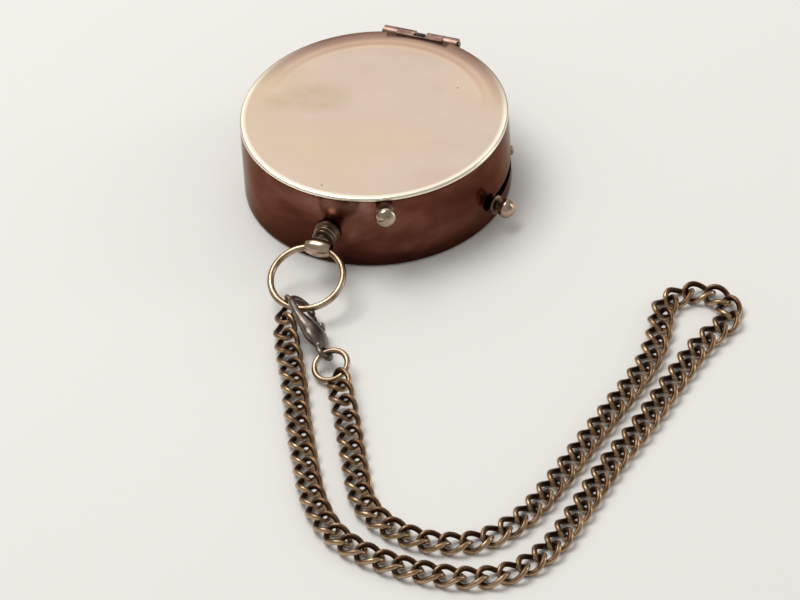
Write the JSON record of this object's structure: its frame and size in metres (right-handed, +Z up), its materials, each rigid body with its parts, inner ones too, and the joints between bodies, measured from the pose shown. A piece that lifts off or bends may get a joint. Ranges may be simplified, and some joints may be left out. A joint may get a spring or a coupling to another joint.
{
  "type": "magnetic compass",
  "caption": "Pocket compass in a round lidded brass case with a bow ring, clasp and curb chain.",
  "frame": {"origin": "centre of the flat underside of the case", "axes": "+Z up through the lid, -Y towards the pendant and bow ring, +Y towards the lid's hinge"},
  "size_m": [0.1047, 0.1309, 0.0168],
  "materials": {
    "case_brass": "dark copper-brown antiqued brass, polished",
    "lid_brass": "pale worn brass, polished with cloudy patches",
    "knob_brass": "polished antique brass",
    "chain_brass": "antique brass with dark recesses",
    "inner_brass": "turned brass",
    "clasp_metal": "gunmetal plated die casting",
    "steel": "bright steel",
    "dial": "cream enamel",
    "needle_blue": "blued steel",
    "gasket": "black fibre",
    "glass": "clear flat glass"
  },
  "bodies": {
    "case": {"case_body": "case_brass", "case_hinge": "case_brass", "hinge_pin": "steel", "lid_spring": "steel", "lower_ring": "inner_brass", "pivot_post": "steel", "dial_plate": "dial", "dial_screws": "inner_brass", "upper_ring": "inner_brass", "glass_gasket": "gasket", "glass": "glass", "retaining_ring": "inner_brass", "arm_screw": "knob_brass", "button_bush": "knob_brass", "catch_screw": "steel", "pendant": "knob_brass"},
    "lid": {"lid_plate": "lid_brass", "lid_hinge": "lid_brass"},
    "lift_arm": {"lift_arm": "steel"},
    "needle": {"needle": "needle_blue", "needle_cap": "inner_brass"},
    "lock_lever": {"lock_slider": "inner_brass", "lock_knob": "knob_brass"},
    "push_button": {"push_button": "knob_brass"},
    "catch": {"catch_spring": "steel"},
    "bow": {"bow_ring": "knob_brass"},
    "chain_lead": {"jump_ring": "chain_brass", "chain_lead_outer": "chain_brass", "chain_lead_inner": "chain_brass"},
    "clasp": {"clasp_body": "clasp_metal", "clasp_rivet": "clasp_metal"},
    "clasp_lever": {"clasp_lever": "clasp_metal"},
    "chain_loop": {"chain_front": "chain_brass", "chain_side_outer": "chain_brass", "chain_far_turn": "chain_brass", "chain_side_inner": "chain_brass", "chain_corner": "chain_brass"}
  },
  "joints": [
    {"name": "lid_open", "type": "hinge", "parent": "case", "child": "lid", "pos_m": [0, 0.0256, 0.0155], "axis": [-1, 0, 0], "range_deg": [0, 110]},
    {"name": "needle_lock", "type": "hinge", "parent": "case", "child": "lock_lever", "pos_m": [0, 0, 0.0044], "axis": [0, 0, 1], "range_deg": [0, 27]},
    {"name": "arm_lift", "type": "hinge", "parent": "case", "child": "lift_arm", "pos_m": [0.02085, 0.01017, 0.00435], "axis": [-0.4384, 0.8988, 0], "range_deg": [0, 1.48]},
    {"name": "needle_spin", "type": "hinge", "parent": "lift_arm", "child": "needle", "pos_m": [0, 0, 0.0094], "axis": [0, 0, 1], "continuous": true},
    {"name": "button_press", "type": "slide", "parent": "case", "child": "push_button", "axis": [-0.4226, 0.9063, 0], "range_m": [0, 0.0007], "stiffness_N_per_m": 2000},
    {"name": "catch_swing", "type": "hinge", "parent": "case", "child": "catch", "pos_m": [-0.00575, -0.02144, 0.0129], "axis": [0, 0, 1], "range_deg": [0, 2.9]},
    {"name": "bow_swing", "type": "hinge", "parent": "case", "child": "bow", "pos_m": [0, -0.0305, 0.0078], "axis": [-1, 0, 0], "range_deg": [0, 110]},
    {"name": "lead_swing", "type": "hinge", "parent": "bow", "child": "chain_lead", "pos_m": [-0.00166, -0.04335, 0.00366], "axis": [-1, 0, 0], "range_deg": [-135.08, 0]},
    {"name": "clasp_roll", "type": "hinge", "parent": "chain_lead", "child": "clasp", "pos_m": [0.00142, -0.0434, 0.00365], "axis": [-0.6419, 0.765, 0.0513], "range_deg": [0, 35.2]},
    {"name": "gate_open", "type": "hinge", "parent": "clasp", "child": "clasp_lever", "pos_m": [0.00573, -0.04688, 0.00231], "axis": [0.565, 0.4268, 0.7062], "range_deg": [0, 20], "stiffness_Nm_per_rad": 0.02},
    {"name": "loop_level", "type": "hinge", "parent": "chain_lead", "child": "chain_loop", "pos_m": [0.02341, -0.08476, 0.00118], "axis": [-1, 0, 0], "range_deg": [0, 25.08]}
  ],
  "couplings": [
    {"joint": "arm_lift", "follows": "needle_lock", "ratio": 0.05489},
    {"joint": "catch_swing", "follows": "button_press", "rad_per_m": 72.26},
    {"joint": "lead_swing", "follows": "bow_swing", "ratio": -1.228},
    {"joint": "loop_level", "follows": "bow_swing", "ratio": 0.228},
    {"joint": "clasp_roll", "follows": "bow_swing", "ratio": 0.31818}
  ]
}
